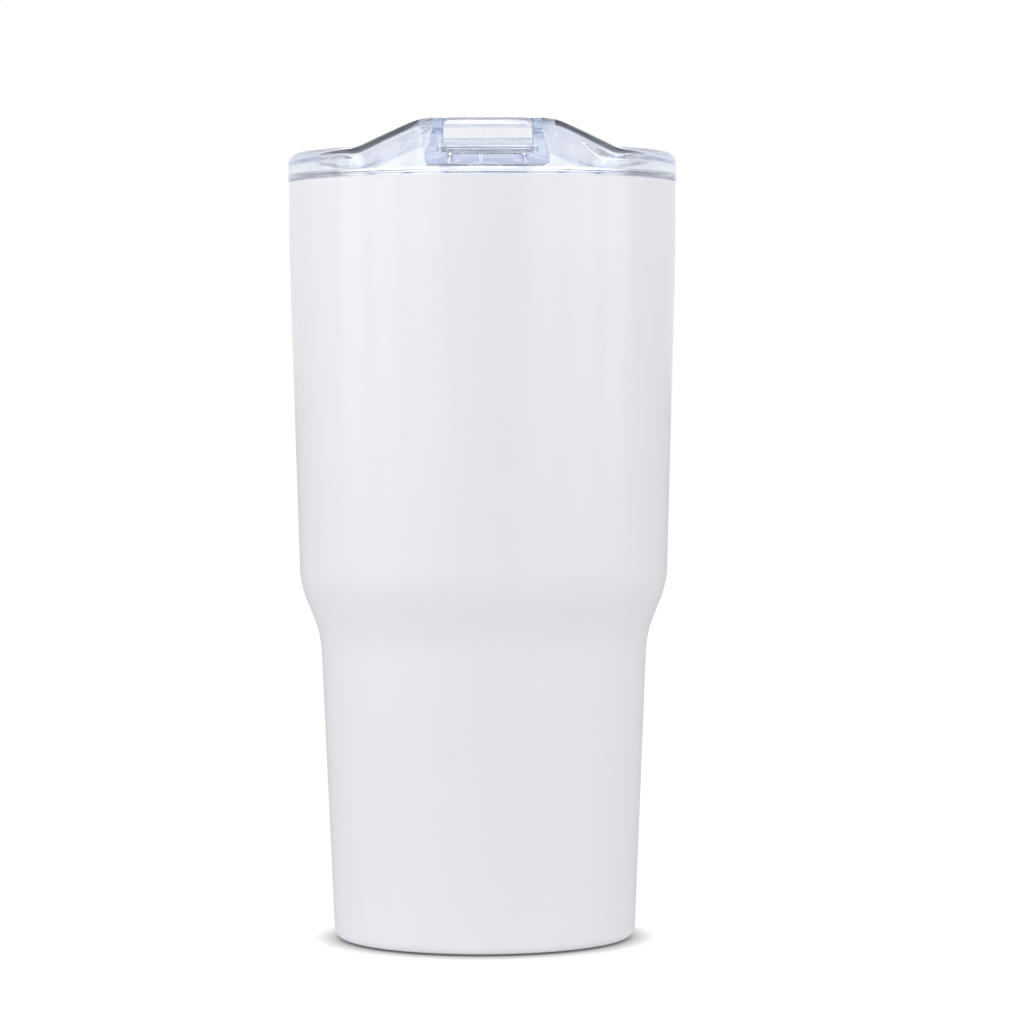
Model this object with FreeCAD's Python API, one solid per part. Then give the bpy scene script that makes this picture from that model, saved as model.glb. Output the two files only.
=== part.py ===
import FreeCAD, Part
import math
import os
from FreeCAD import Vector

# Insulated tumbler with a clear press-in lid and a thumb slider.
# Millimetres, +Z up, origin on the axis in the plane the tumbler stands on; the drinker faces the -Y side.

# Outer wall
body_height = 172.6          # rest plane to the top edge of the coated wall
neck_radius = 44.0
neck_length = 16.0           # straight band below the top edge
neck_blend_radius = 60.0
upper_taper = 1.6            # degrees from vertical, between the neck and the shoulder
shoulder_height = 81.2       # upper corner of the shoulder
shoulder_drop = 11.45        # height of the shoulder's cone
shoulder_round = 20.0
grip_radius = 37.28          # lower corner of the shoulder
grip_round = 23.0
base_radius = 34.35
base_edge_height = 0.4       # the steel edge stands this far above the rest plane, on the pad
base_edge_round = 2.0
shell_wall = 0.5

# Vacuum space and inner wall
vacuum_gap = 2.1
liner_wall = 0.5
lip_rise = 1.6               # rolled steel lip above the coated wall
lip_leg = 2.6                # depth of the lip's outer leg inside the shell, where it is welded
liner_floor_height = 8.0     # drink-side floor
liner_joint_height = 15.0    # weld between the inner wall and its bottom
liner_floor_round = 5.0

# Base
recess_radius = 31.0         # wall of the recess under the tumbler
recess_edge_round = 0.9
hem_height = 3.0             # top of the shell's turned-up hem, above the rest plane
base_plate_wall = 0.6
base_plate_height = 4.0      # top face of the vacuum base
port_dimple_radius = 4.0
port_dimple_depth = 0.9
port_hole_radius = 0.8
port_slope = 1.6             # width of the sloping ring around the dimple
cover_wall = 0.5
cover_top_height = 2.2
cover_clearance = 0.05
pad_edge_gap = 0.6
pad_recess_radius = 22.0
pad_recess_depth = 0.6

# Getter and foil
getter_radius = 4.0
getter_thickness = 1.8
getter_holder_wall = 0.3
getter_offset = 17.0         # from the tumbler's axis
foil_thickness = 0.1
foil_low = 20.0
foil_top_margin = 24.0       # from the coated wall's top edge down to the foil

# Lid
lid_overhang = 0.2           # the lid's rim stands this far outside the neck
skirt_clearance = 0.15       # skirt around the steel lip, and skirt above the coated edge
seat_clearance = 0.05
rim_height = 5.0             # rim top above the steel lip
rim_edge_round = 2.4
ridge_rise = 5.8             # ridge top above the rim top
ridge_half_flat = 12.0
ridge_roll_radius = 14.0
ridge_slope = 23.0           # degrees from level
ridge_foot_radius = 7.0
lid_skin = 2.0
plug_clearance = 0.7         # between the plug and the mouth
plug_wall = 2.0
plug_depth = 10.0            # below the steel lip

# Channel on top of the ridge
channel_half_width = 9.8
channel_wall_top = 1.5
channel_wall_foot = 3.0
channel_floor_rise = 3.0     # channel floor above the steel lip
channel_floor_thickness = 2.0
front_wall = 3.2             # from the rim's outer face to the channel, on the centre line
drink_slot_length = 17.0
drink_slot_width = 7.0
drink_slot_margin = 3.0      # channel's front end to the slot
vent_hole_radius = 1.2
vent_offset = 33.0           # behind the axis

# Gasket
gasket_height = 3.4
gasket_depth = 1.3           # groove depth in the plug
gasket_low = 2.2             # groove above the plug's bottom edge
gasket_clearance = 0.05      # gasket lips to the mouth
gasket_web = 0.5             # part of the gasket that stays inside the groove line

# Slider
slider_clearance = 0.15
slider_length = 42.0
slider_travel = 14.0
slider_thickness = 2.05
slider_corner = 1.5
tongue_depth = 1.0
tongue_thickness = 1.1
tongue_height = 0.3          # tongue above the slider's underside
thumb_bar_width = 13.0
thumb_bar_depth = 5.0
thumb_bar_height = 1.5
thumb_bar_offset = 6.0       # from the slider's rear end to the bar
thumb_bar_round = 0.7
seal_margin = 1.2            # seal beyond the drink slot, all round
seal_thickness = 0.8
seal_gap = 0.08              # seal above the channel floor

# Worked out from the values above
lip_top = body_height + lip_rise
lip_outer_radius = neck_radius - shell_wall
mouth_radius = neck_radius - shell_wall - vacuum_gap - liner_wall
lid_radius = neck_radius + lid_overhang
rim_top = lip_top + rim_height
ridge_top = rim_top + ridge_rise
plug_radius = mouth_radius - plug_clearance
plug_bottom = lip_top - plug_depth
channel_floor = lip_top + channel_floor_rise
channel_front = -(lid_radius - front_wall)
slider_bottom = channel_floor + slider_clearance
slider_front = channel_front + slider_clearance
slider_rear = slider_front + slider_length
drink_slot_y = channel_front + drink_slot_margin + drink_slot_width / 2


def turn_side(before, corner, after):
    """Positive where the path turns left at the corner."""
    return ((corner[0] - before[0]) * (after[1] - corner[1])
            - (corner[1] - before[1]) * (after[0] - corner[0]))


def line_crossing(a, b, c, d):
    denominator = (b[0] - a[0]) * (d[1] - c[1]) - (b[1] - a[1]) * (d[0] - c[0])
    share = ((c[0] - a[0]) * (d[1] - c[1]) - (c[1] - a[1]) * (d[0] - c[0])) / denominator
    return (a[0] + share * (b[0] - a[0]), a[1] + share * (b[1] - a[1]))


def shift_left(points, distance):
    """Corner points of the path moved sideways by a distance, to the left of its direction."""
    segments = []
    for a, b in zip(points[:-1], points[1:]):
        length = math.hypot(b[0] - a[0], b[1] - a[1])
        dx = -(b[1] - a[1]) / length * distance
        dy = (b[0] - a[0]) / length * distance
        segments.append(((a[0] + dx, a[1] + dy), (b[0] + dx, b[1] + dy)))
    moved = [segments[0][0]]
    for first, second in zip(segments[:-1], segments[1:]):
        moved.append(line_crossing(first[0], first[1], second[0], second[1]))
    moved.append(segments[-1][1])
    return moved


def shifted_radii(points, radii, distance):
    """Corner radii that keep the shifted path parallel to the first one."""
    kept = []
    for index, radius in enumerate(radii):
        side = turn_side(points[index], points[index + 1], points[index + 2])
        kept.append(radius - distance if side > 0 else radius + distance)
    return kept


def rounded_edges(points, radii, place):
    """Straight runs joined by tangent arcs; place turns a flat point into a 3-D one."""
    edges = []
    start = points[0]
    for index, radius in enumerate(radii):
        before, corner, after = points[index], points[index + 1], points[index + 2]
        into = (corner[0] - before[0], corner[1] - before[1])
        out = (after[0] - corner[0], after[1] - corner[1])
        into_length, out_length = math.hypot(*into), math.hypot(*out)
        into = (into[0] / into_length, into[1] / into_length)
        out = (out[0] / out_length, out[1] / out_length)
        turn = math.acos(max(-1.0, min(1.0, into[0] * out[0] + into[1] * out[1])))
        reach = radius * math.tan(turn / 2)
        first = (corner[0] - into[0] * reach, corner[1] - into[1] * reach)
        last = (corner[0] + out[0] * reach, corner[1] + out[1] * reach)
        bulge = radius / math.cos(turn / 2) - radius
        inward = (out[0] - into[0], out[1] - into[1])
        inward_length = math.hypot(*inward)
        middle = (corner[0] + inward[0] / inward_length * bulge,
                  corner[1] + inward[1] / inward_length * bulge)
        if math.hypot(first[0] - start[0], first[1] - start[1]) > 1e-6:
            edges.append(Part.makeLine(place(start), place(first)))
        edges.append(Part.Arc(place(first), place(middle), place(last)).toShape())
        start = last
    edges.append(Part.makeLine(place(start), place(points[-1])))
    return edges


def on_profile(point):
    return Vector(point[0], 0, point[1])


def full_turn(face):
    return face.revolve(Vector(0, 0, 0), Vector(0, 0, 1), 360)


def closed_face(edges):
    return Part.Face(Part.Wire(Part.__sortEdges__(edges)))


def spun_wall(points, radii, near, far):
    """Solid of revolution between two parallels of a path, near and far to its left."""
    sides = []
    for distance in (near, far):
        moved = shift_left(points, distance)
        sides.append((moved, rounded_edges(moved, shifted_radii(points, radii, distance), on_profile)))
    edges = sides[0][1] + sides[1][1]
    for end in (0, -1):
        edges.append(Part.makeLine(on_profile(sides[0][0][end]), on_profile(sides[1][0][end])))
    return full_turn(closed_face(edges))


def spun_polygon(points):
    corners = [on_profile(point) for point in points]
    return full_turn(Part.Face(Part.makePolygon(corners + corners[:1])))


def ring(inner, outer, low, high):
    """Ring or, with an inner radius of 0, a disc."""
    disc = Part.makeCylinder(outer, high - low, Vector(0, 0, low))
    if inner > 0:
        disc = disc.cut(Part.makeCylinder(inner, high - low, Vector(0, 0, low)))
    return disc


def block(x_half, y_low, y_high, z_low, z_high):
    return Part.makeBox(2 * x_half, y_high - y_low, z_high - z_low, Vector(-x_half, y_low, z_low))


def stadium(length, width, y_middle, z_low, z_high):
    """Slot shape, long along X with round ends."""
    reach = (length - width) / 2
    solid = block(reach, y_middle - width / 2, y_middle + width / 2, z_low, z_high)
    for x in (-reach, reach):
        solid = solid.fuse(Part.makeCylinder(width / 2, z_high - z_low, Vector(x, y_middle, z_low)))
    return solid.removeSplitter()


# Outer surface of the wall from the base to the top edge, as corner points and their rounding
upper_corner_radius = neck_radius - (body_height - neck_length - shoulder_height) * math.tan(
    math.radians(upper_taper))
wall_corners = [
    ((grip_radius, shoulder_height - shoulder_drop), grip_round),
    ((upper_corner_radius, shoulder_height), shoulder_round),
    ((neck_radius, body_height - neck_length), neck_blend_radius),
]


def wall_path(low, high):
    """Outer surface between two heights, as points and the radii of the corners between them."""
    ends = [(base_radius, base_edge_height)] + [corner for corner, _ in wall_corners]
    ends.append((neck_radius, body_height))

    def radius_at(height):
        for below, above in zip(ends[:-1], ends[1:]):
            if height <= above[1]:
                break
        share = (height - below[1]) / (above[1] - below[1])
        return below[0] + share * (above[0] - below[0])

    between = [(corner, rounding) for corner, rounding in wall_corners if low < corner[1] < high]
    points = [(radius_at(low), low)] + [corner for corner, _ in between] + [(radius_at(high), high)]
    return points, [rounding for _, rounding in between]


liner_outside = shell_wall + vacuum_gap        # from the outer surface to the inner wall's vacuum side
liner_inside = liner_outside + liner_wall      # and to its drink side


def liner_path(low, high):
    """Drink side of the inner wall between two heights."""
    points, radii = wall_path(base_edge_height, body_height)
    radii = shifted_radii(points, radii, liner_inside)
    points = shift_left(points, liner_inside)

    def point_at(height):
        for below, above in zip(points[:-1], points[1:]):
            if height <= above[1]:
                break
        share = (height - below[1]) / (above[1] - below[1])
        return (below[0] + share * (above[0] - below[0]), height)

    between = [(point, radius) for point, radius in zip(points[1:-1], radii) if low < point[1] < high]
    kept = [point_at(low)] + [point for point, _ in between] + [point_at(high)]
    return kept, [radius for _, radius in between]


def make_outer_shell():
    """Coated wall: turned-up hem, rounded base edge, grip, shoulder, neck."""
    points, radii = wall_path(base_edge_height, body_height)
    hem = [(recess_radius, hem_height), (recess_radius, base_edge_height)]
    return spun_wall(hem + points, [recess_edge_round, base_edge_round] + radii, 0, shell_wall)


def make_inner_liner():
    """Inner wall with its rolled lip; the lip's outer leg lies against the shell's neck."""
    points, radii = liner_path(liner_joint_height, body_height)
    roll = (lip_outer_radius - mouth_radius) / 2 - 0.01
    points = points[:-1] + [(mouth_radius, lip_top), (lip_outer_radius, lip_top),
                            (lip_outer_radius, body_height - lip_leg)]
    return spun_wall(points, radii + [roll, roll], 0, -liner_wall)


def make_inner_bottom():
    """Dished bottom of the inner wall, welded to it edge to edge."""
    low, joint = liner_path(liner_floor_height, liner_joint_height)[0]
    points = [(0, liner_floor_height), low, joint]
    return spun_wall(points, [liner_floor_round], 0, -liner_wall)


def make_copper_foil():
    """Foil wrapped around the vacuum side of the inner wall."""
    points, radii = wall_path(foil_low, body_height - foil_top_margin)
    return spun_wall(points, radii, liner_outside - foil_thickness, liner_outside)


def make_vacuum_base():
    """Closing plate of the vacuum space, with a dimple and a hole for evacuating it."""
    top = base_plate_height
    points = [(port_hole_radius, top + port_dimple_depth),
              (port_dimple_radius, top + port_dimple_depth),
              (port_dimple_radius + port_slope, top),
              (recess_radius, top),
              (recess_radius, base_edge_height)]
    return spun_wall(points, [0.7, 0.7, 1.2], 0, -base_plate_wall)


def make_port_seal():
    """Bead of sealing glass under the evacuation hole, with a little of it in the hole."""
    under = base_plate_height + port_dimple_depth - base_plate_wall
    height = port_dimple_depth + 0.2
    radius = port_dimple_radius - 1.0
    dome_radius = (radius ** 2 + height ** 2) / (2 * height)
    dome = Part.makeSphere(dome_radius, Vector(0, 0, under + dome_radius - height))
    dome = dome.common(ring(0, radius, under - height, under))
    neck = ring(0, port_hole_radius, under, under + base_plate_wall / 2)
    return dome.fuse(neck).removeSplitter()


def make_base_cover():
    """Shallow cap pressed into the recess under the vacuum base."""
    outer = recess_radius - base_plate_wall - cover_clearance
    points = [(0, cover_top_height), (outer, cover_top_height), (outer, base_edge_height + 0.1)]
    return spun_wall(points, [1.0], 0, -cover_wall)


def make_base_pad():
    """Silicone foot in the cover, with a shallow round recess in its underside."""
    radius = recess_radius - base_plate_wall - cover_clearance - cover_wall - pad_edge_gap
    pad = ring(0, radius, 0, cover_top_height - cover_wall)
    return pad.cut(ring(0, pad_recess_radius, 0, pad_recess_depth))


def make_getter_holder():
    """Small steel cup on the vacuum base that holds the getter."""
    outer = getter_radius + getter_holder_wall
    low = base_plate_height
    cup = Part.makeCylinder(outer, getter_thickness + 2 * getter_holder_wall, Vector(getter_offset, 0, low))
    return cup.cut(Part.makeCylinder(getter_radius, getter_thickness + 2 * getter_holder_wall,
                                     Vector(getter_offset, 0, low + getter_holder_wall)))


def make_getter_pill():
    """Pressed getter tablet that keeps the vacuum clean."""
    low = base_plate_height + getter_holder_wall
    return Part.makeCylinder(getter_radius, getter_thickness, Vector(getter_offset, 0, low))


def ridge_outline(inset):
    """Right half of the lid's top outline at mid-length, from the axis to past the rim, moved inwards."""
    slope = math.radians(ridge_slope)
    corner_reach = ridge_roll_radius * math.tan(slope / 2)
    first = (ridge_half_flat + corner_reach, ridge_top)
    second = (first[0] + ridge_rise / math.tan(slope), rim_top)
    points = [(0, ridge_top), first, second, (lid_radius + 1, rim_top)]
    radii = [ridge_roll_radius, ridge_foot_radius]
    return shift_left(points, -inset), shifted_radii(points, radii, -inset)


def ridge_prism(inset, low):
    """Everything under the lid's top outline, the length of the lid, down to a height."""
    points, radii = ridge_outline(inset)
    front = -(lid_radius + 1)
    right = rounded_edges(points, radii, lambda p: Vector(p[0], front, p[1]))
    left = rounded_edges([(-x, z) for x, z in points], radii, lambda p: Vector(p[0], front, p[1]))
    end = points[-1]
    floor = [Part.makeLine(Vector(end[0], front, end[1]), Vector(end[0], front, low)),
             Part.makeLine(Vector(end[0], front, low), Vector(-end[0], front, low)),
             Part.makeLine(Vector(-end[0], front, low), Vector(-end[0], front, end[1]))]
    return closed_face(right + left + floor).extrude(Vector(0, -2 * front, 0))


def channel_block():
    """Walls and floor of the channel, before the channel is cut; the walls thicken downwards."""
    low = channel_floor - channel_floor_thickness
    high = ridge_top - lid_skin / 2
    top_half = channel_half_width + channel_wall_top
    foot_half = channel_half_width + channel_wall_foot
    front = -(lid_radius - lid_skin / 2)
    corners = [Vector(-foot_half, front, low), Vector(foot_half, front, low),
               Vector(top_half, front, high), Vector(-top_half, front, high)]
    prism = Part.Face(Part.makePolygon(corners + corners[:1])).extrude(Vector(0, -2 * front, 0))
    return prism.common(ring(0, lid_radius - lid_skin / 2, low, high))


def rounded_rim(envelope):
    """Rounds the top edge where the rim meets the top surface, all the way round."""
    edges = []
    for edge in envelope.Edges:
        on_rim = all(abs(math.hypot(v.Point.x, v.Point.y) - lid_radius) < 1e-3 for v in edge.Vertexes)
        middle = edge.valueAt((edge.FirstParameter + edge.LastParameter) / 2)
        at_side = abs(math.hypot(middle.x, middle.y) - lid_radius) < 1e-3
        if on_rim and at_side and min(v.Point.z for v in edge.Vertexes) > rim_top - 1e-3:
            edges.append(edge)
    return envelope.makeFillet(rim_edge_round, edges)


def make_lid_body():
    """Clear lid: rim over the steel lip, plug, hollow ridge, and the channel the slider runs in."""
    skirt_low = body_height + skirt_clearance
    seat = lip_top + seat_clearance
    envelope = ridge_prism(0, seat).common(ring(0, lid_radius, seat, ridge_top))
    lid = rounded_rim(envelope)
    lid = lid.fuse(ring(lip_outer_radius + skirt_clearance, lid_radius, skirt_low, seat))
    lid = lid.fuse(ring(plug_radius - plug_wall, plug_radius, plug_bottom, seat))
    hollow_low = channel_floor - channel_floor_thickness
    plug_bore = plug_radius - plug_wall
    lid = lid.cut(ridge_prism(lid_skin, hollow_low).common(ring(0, plug_bore, hollow_low, ridge_top)))
    lid = lid.cut(ring(0, plug_bore, plug_bottom, hollow_low + 0.001))
    lid = lid.fuse(channel_block())
    lid = lid.cut(block(channel_half_width, channel_front, -channel_front, channel_floor, ridge_top + 1))
    lid = lid.cut(stadium(drink_slot_length, drink_slot_width, drink_slot_y,
                          hollow_low - 1, channel_floor + 1))
    lid = lid.cut(Part.makeCylinder(vent_hole_radius, channel_floor_thickness + 2,
                                    Vector(0, vent_offset, hollow_low - 1)))
    groove_low = slider_bottom + tongue_height - slider_clearance
    groove_rear = slider_rear + slider_travel + slider_clearance
    lid = lid.cut(block(channel_half_width + tongue_depth, channel_front, groove_rear,
                        groove_low, groove_low + tongue_thickness + 2 * slider_clearance))
    gasket_floor = plug_bottom + gasket_low
    lid = lid.cut(ring(plug_radius - gasket_depth, plug_radius + 1, gasket_floor, gasket_floor + gasket_height))
    return lid.removeSplitter()


def make_lid_gasket():
    """Silicone ring in the plug's groove, with two round lips towards the mouth."""
    low = plug_bottom + gasket_low
    lip_radius = gasket_height / 4
    reach = mouth_radius - gasket_clearance
    core = ring(plug_radius - gasket_depth, plug_radius - gasket_web, low, low + gasket_height)
    for middle in (low + lip_radius, low + gasket_height - lip_radius):
        disc = spun_polygon([(plug_radius - gasket_web - 0.1, middle - lip_radius),
                             (reach - lip_radius, middle - lip_radius),
                             (reach - lip_radius, middle + lip_radius),
                             (plug_radius - gasket_web - 0.1, middle + lip_radius)])
        bead = Part.makeTorus(reach - lip_radius, lip_radius, Vector(0, 0, middle), Vector(0, 0, 1))
        core = core.fuse(disc).fuse(bead)
    return core.removeSplitter()


def seal_outline(z_low, z_high):
    return stadium(drink_slot_length + 2 * seal_margin, drink_slot_width + 2 * seal_margin,
                   drink_slot_y, z_low, z_high)


def make_slider():
    """Sliding closure: a plate with a tongue along each side, a thumb bar and a pocket for its seal."""
    half = channel_half_width - slider_clearance
    top = slider_bottom + slider_thickness
    plate = block(half, slider_front, slider_rear, slider_bottom, top)
    upright = [e for e in plate.Edges if abs(e.Vertexes[0].Z - e.Vertexes[-1].Z) > slider_thickness / 2]
    plate = plate.makeFillet(slider_corner, upright)
    tongue_low = slider_bottom + tongue_height
    tongues = block(half + tongue_depth, slider_front + slider_corner, slider_rear,
                    tongue_low, tongue_low + tongue_thickness)
    bar_rear = slider_rear - thumb_bar_offset
    bar = block(thumb_bar_width / 2, bar_rear - thumb_bar_depth, bar_rear,
                top - slider_thickness / 2, top + thumb_bar_height)
    bar = bar.makeFillet(thumb_bar_round, [e for e in bar.Edges if max(v.Z for v in e.Vertexes) > top])
    slider = plate.fuse(tongues).fuse(bar)
    return slider.cut(seal_outline(slider_bottom - 1, slider_bottom + seal_thickness)).removeSplitter()


def make_slider_seal():
    """Silicone pad in the slider's pocket, over the drink slot."""
    return seal_outline(channel_floor + seal_gap, slider_bottom + seal_thickness)


parts = {
    "outer_shell": make_outer_shell,
    "inner_liner": make_inner_liner,
    "inner_bottom": make_inner_bottom,
    "copper_foil": make_copper_foil,
    "vacuum_base": make_vacuum_base,
    "port_seal": make_port_seal,
    "getter_holder": make_getter_holder,
    "getter_pill": make_getter_pill,
    "base_cover": make_base_cover,
    "base_pad": make_base_pad,
    "lid_body": make_lid_body,
    "lid_gasket": make_lid_gasket,
    "slider": make_slider,
    "slider_seal": make_slider_seal,
}

os.makedirs("parts", exist_ok=True)
for name, make in parts.items():
    shape = make()
    solids = shape.Solids
    if len(solids) != 1 or not shape.isValid():
        raise ValueError(name + " is not one valid solid")
    solids[0].exportStep("parts/" + name + ".step")
    print(name, round(solids[0].Volume, 1), "mm3", "top", round(shape.BoundBox.ZMax, 2))
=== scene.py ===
import math

import bmesh
import bpy
import numpy as np
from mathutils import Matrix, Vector


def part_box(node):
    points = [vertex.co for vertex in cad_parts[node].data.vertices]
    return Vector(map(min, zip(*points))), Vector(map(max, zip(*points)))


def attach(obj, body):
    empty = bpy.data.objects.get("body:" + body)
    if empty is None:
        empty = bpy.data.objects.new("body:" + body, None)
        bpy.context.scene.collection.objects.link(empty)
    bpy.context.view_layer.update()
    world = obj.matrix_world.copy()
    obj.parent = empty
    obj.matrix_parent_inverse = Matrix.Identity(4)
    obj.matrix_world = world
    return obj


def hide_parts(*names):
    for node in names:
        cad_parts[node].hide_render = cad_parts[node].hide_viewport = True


# Insulated tumbler with a clear slide lid: the looks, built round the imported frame.
# The pieces' dictionaries hold millimetres and degrees; meshes, finishes and the studio are in metres.

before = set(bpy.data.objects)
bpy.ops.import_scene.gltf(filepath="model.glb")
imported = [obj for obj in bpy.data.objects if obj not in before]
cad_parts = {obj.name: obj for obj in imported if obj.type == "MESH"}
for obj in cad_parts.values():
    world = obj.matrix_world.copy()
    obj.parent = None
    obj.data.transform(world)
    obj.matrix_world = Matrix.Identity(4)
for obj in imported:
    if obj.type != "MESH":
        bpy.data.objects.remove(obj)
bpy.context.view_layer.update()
mm = 0.001


# Largest distance of a CAD node from the tumbler's axis, in millimetres.
def reachOf(node):
    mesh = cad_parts[node].data
    flat = np.zeros(len(mesh.vertices) * 3)
    mesh.vertices.foreach_get("co", flat)
    flat = flat.reshape(-1, 3)
    return float(np.hypot(flat[:, 0], flat[:, 1]).max()) / mm


def heights(node):
    low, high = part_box(node)
    return low.z / mm, high.z / mm


hemLow, wallTop = heights("outer_shell")
neckRadius = reachOf("outer_shell")
lipTop = heights("inner_liner")[1]
lipRadius = reachOf("inner_liner")
plugLow, ridgeTop = heights("lid_body")
lidRadius = reachOf("lid_body")
gasketLow, gasketTop = heights("lid_gasket")
mouthReach = reachOf("lid_gasket")
sliderLow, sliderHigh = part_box("slider")[0] / mm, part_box("slider")[1] / mm
sealLow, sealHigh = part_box("slider_seal")[0] / mm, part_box("slider_seal")[1] / mm
coverTop = heights("base_cover")[1]
coverRadius = reachOf("base_cover")
padRadius = reachOf("base_pad")
padTop = heights("base_pad")[1]
print("frame read: neck", round(neckRadius, 2), "lid", round(lidRadius, 2), "height", round(ridgeTop, 2))


# Corner points of a path moved sideways to its left: each run is shifted square to itself, and
# neighbouring runs are crossed again.
def shiftPath(corners, distance):
    corners = np.asarray(corners, float)
    runs = np.diff(corners, axis=0)
    sideways = np.column_stack([-runs[:, 1], runs[:, 0]]) / np.hypot(runs[:, 0], runs[:, 1])[:, None]
    starts, ends = corners[:-1] + sideways * distance, corners[1:] + sideways * distance
    moved = [starts[0]]
    for i in range(len(runs) - 1):
        p, r, q, s = starts[i], runs[i], starts[i + 1], runs[i + 1]
        share = ((q - p)[0] * s[1] - (q - p)[1] * s[0]) / (r[0] * s[1] - r[1] * s[0])
        moved.append(p + share * r)
    moved.append(ends[-1])
    return np.array(moved)


# Corner radii of the shifted path: less on a left turn, more on a right turn.
def shiftRadii(corners, radii, distance):
    runs = np.diff(np.asarray(corners, float), axis=0)
    turn = runs[:-1, 0] * runs[1:, 1] - runs[:-1, 1] * runs[1:, 0]
    return np.where(turn > 0, np.asarray(radii, float) - distance, np.asarray(radii, float) + distance)


# Points along straight runs joined by tangent arcs. An arc is centre + radius * (cos, sin) of an angle
# that goes evenly from one run's end to the next run's start; runs are divided evenly.
def roundedPath(corners, radii, arcStep=6.0, runStep=4.0):
    corners = np.asarray(corners, float)
    marks = [corners[0]]
    for i, radius in enumerate(radii):
        before, corner, after = corners[i], corners[i + 1], corners[i + 2]
        into, out = corner - before, after - corner
        into, out = into / np.hypot(*into), out / np.hypot(*out)
        turn = math.atan2(into[0] * out[1] - into[1] * out[0], into @ out)
        reach = radius * math.tan(abs(turn) / 2)
        side = math.copysign(1, turn)
        first = corner - into * reach
        centre = first + side * radius * np.array([-into[1], into[0]])
        begin = math.atan2(*(first - centre)[::-1])
        count = max(3, int(abs(math.degrees(turn)) / arcStep) + 1)
        angles = begin + np.linspace(0, turn, count + 1)
        marks += evenRun(marks[-1], first, runStep)
        marks += list(centre + radius * np.column_stack([np.cos(angles), np.sin(angles)]))
    marks += evenRun(marks[-1], corners[-1], runStep) + [corners[-1]]
    return np.array(marks)


# Inner points of a straight run, with one close to each end so that shading stays flat on it.
def evenRun(start, end, step):
    length = math.hypot(*(end - start))
    if length < 0.2:
        return []
    close = min(0.15, length / 4) / length
    inner = np.linspace(0, 1, max(2, int(length / step) + 1))[1:-1]
    inner = inner[(inner > close * 1.5) & (inner < 1 - close * 1.5)]
    return [start + (end - start) * t for t in np.concatenate([[close], inner, [1 - close]])]


# Grid of a profile carried round the axis: (r cos a, r sin a, z), a going evenly through a full turn.
def spin(profile, columns):
    angle = np.linspace(0, 2 * math.pi, columns, endpoint=False)
    r, z = profile[:, :1], profile[:, 1:]
    return np.stack([r * np.cos(angle), r * np.sin(angle), z + 0 * angle], axis=2)


# Mesh object from a grid of points in millimetres, rows by columns. Columns always close on themselves,
# and rows do where loopRows is true; otherwise the first and last rows are poles.
def gridPiece(name, grid, loopRows, materials, body, replaced, sharpAngle=40):
    rows, columns = grid.shape[:2]
    i = np.arange(rows if loopRows else rows - 1)[:, None]
    j = np.arange(columns)[None, :]
    below, right = (i + 1) % rows, (j + 1) % columns
    quads = np.stack([i * columns + j, i * columns + right,
                      below * columns + right, below * columns + j], axis=2).reshape(-1, 4)
    points = grid.reshape(-1, 3)
    a, b, c, d = (points[quads[:, k]] for k in range(4))
    volume = np.einsum("ij,ij->", a, np.cross(b, c)) + np.einsum("ij,ij->", a, np.cross(c, d))
    if volume < 0:
        quads = quads[:, ::-1]
    mesh = bpy.data.meshes.new(name)
    mesh.vertices.add(len(points))
    mesh.vertices.foreach_set("co", (points * mm).ravel())
    mesh.loops.add(quads.size)
    mesh.loops.foreach_set("vertex_index", quads.ravel().astype(np.int32))
    mesh.polygons.add(len(quads))
    mesh.polygons.foreach_set("loop_start", np.arange(0, quads.size, 4, dtype=np.int32))
    mesh.update(calc_edges=True)
    shell = bmesh.new()
    shell.from_mesh(mesh)
    bmesh.ops.remove_doubles(shell, verts=shell.verts, dist=1e-7)
    bmesh.ops.dissolve_degenerate(shell, edges=shell.edges, dist=1e-7)
    shell.to_mesh(mesh)
    shell.free()
    mesh.validate()
    mesh.polygons.foreach_set("use_smooth", np.ones(len(mesh.polygons), bool))
    mesh.set_sharp_from_angle(angle=math.radians(sharpAngle))
    for material in materials:
        mesh.materials.append(material)
    piece = bpy.data.objects.new(name, mesh)
    bpy.context.scene.collection.objects.link(piece)
    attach(piece, body)
    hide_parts(*replaced)
    return piece


# Gives a material index to the faces whose centre is above a height in millimetres.
def paintAbove(piece, height, index):
    mesh = piece.data
    centres = np.zeros(len(mesh.polygons) * 3)
    mesh.polygons.foreach_get("center", centres)
    high = centres.reshape(-1, 3)[:, 2] > height * mm
    mesh.polygons.foreach_set("material_index", np.where(high, index, 0).astype(np.int32))


# Softens the corners of a closed list of rows: near each corner the two straight runs are joined by a
# quadratic curve (1-t)^2 a + 2t(1-t) corner + t^2 b that starts a reach away.
def roundRows(rows, reaches, steps=4):
    made = []
    count = len(rows)
    for i, reach in enumerate(reaches):
        row = rows[i]
        if reach == 0:
            made.append(row)
            continue
        ends = []
        for neighbour in (rows[i - 1], rows[(i + 1) % count]):
            way = neighbour - row
            length = np.maximum(np.linalg.norm(way, axis=1, keepdims=True), 1e-9)
            ends.append(row + way * np.minimum(reach / length, 0.45))
        for t in np.linspace(0, 1, steps + 1):
            made.append((1 - t) ** 2 * ends[0] + 2 * t * (1 - t) * row + t ** 2 * ends[1])
    return made


def newMaterial(name):
    material = bpy.data.materials.new(name)
    material.use_nodes = True
    tree = material.node_tree
    return material, tree, tree.nodes["Principled BSDF"]


def node(tree, kind, **settings):
    made = tree.nodes.new(kind)
    for key, value in settings.items():
        if key.startswith("in_"):
            made.inputs[key[3:].replace("_", " ")].default_value = value
        else:
            setattr(made, key, value)
    return made


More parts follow.
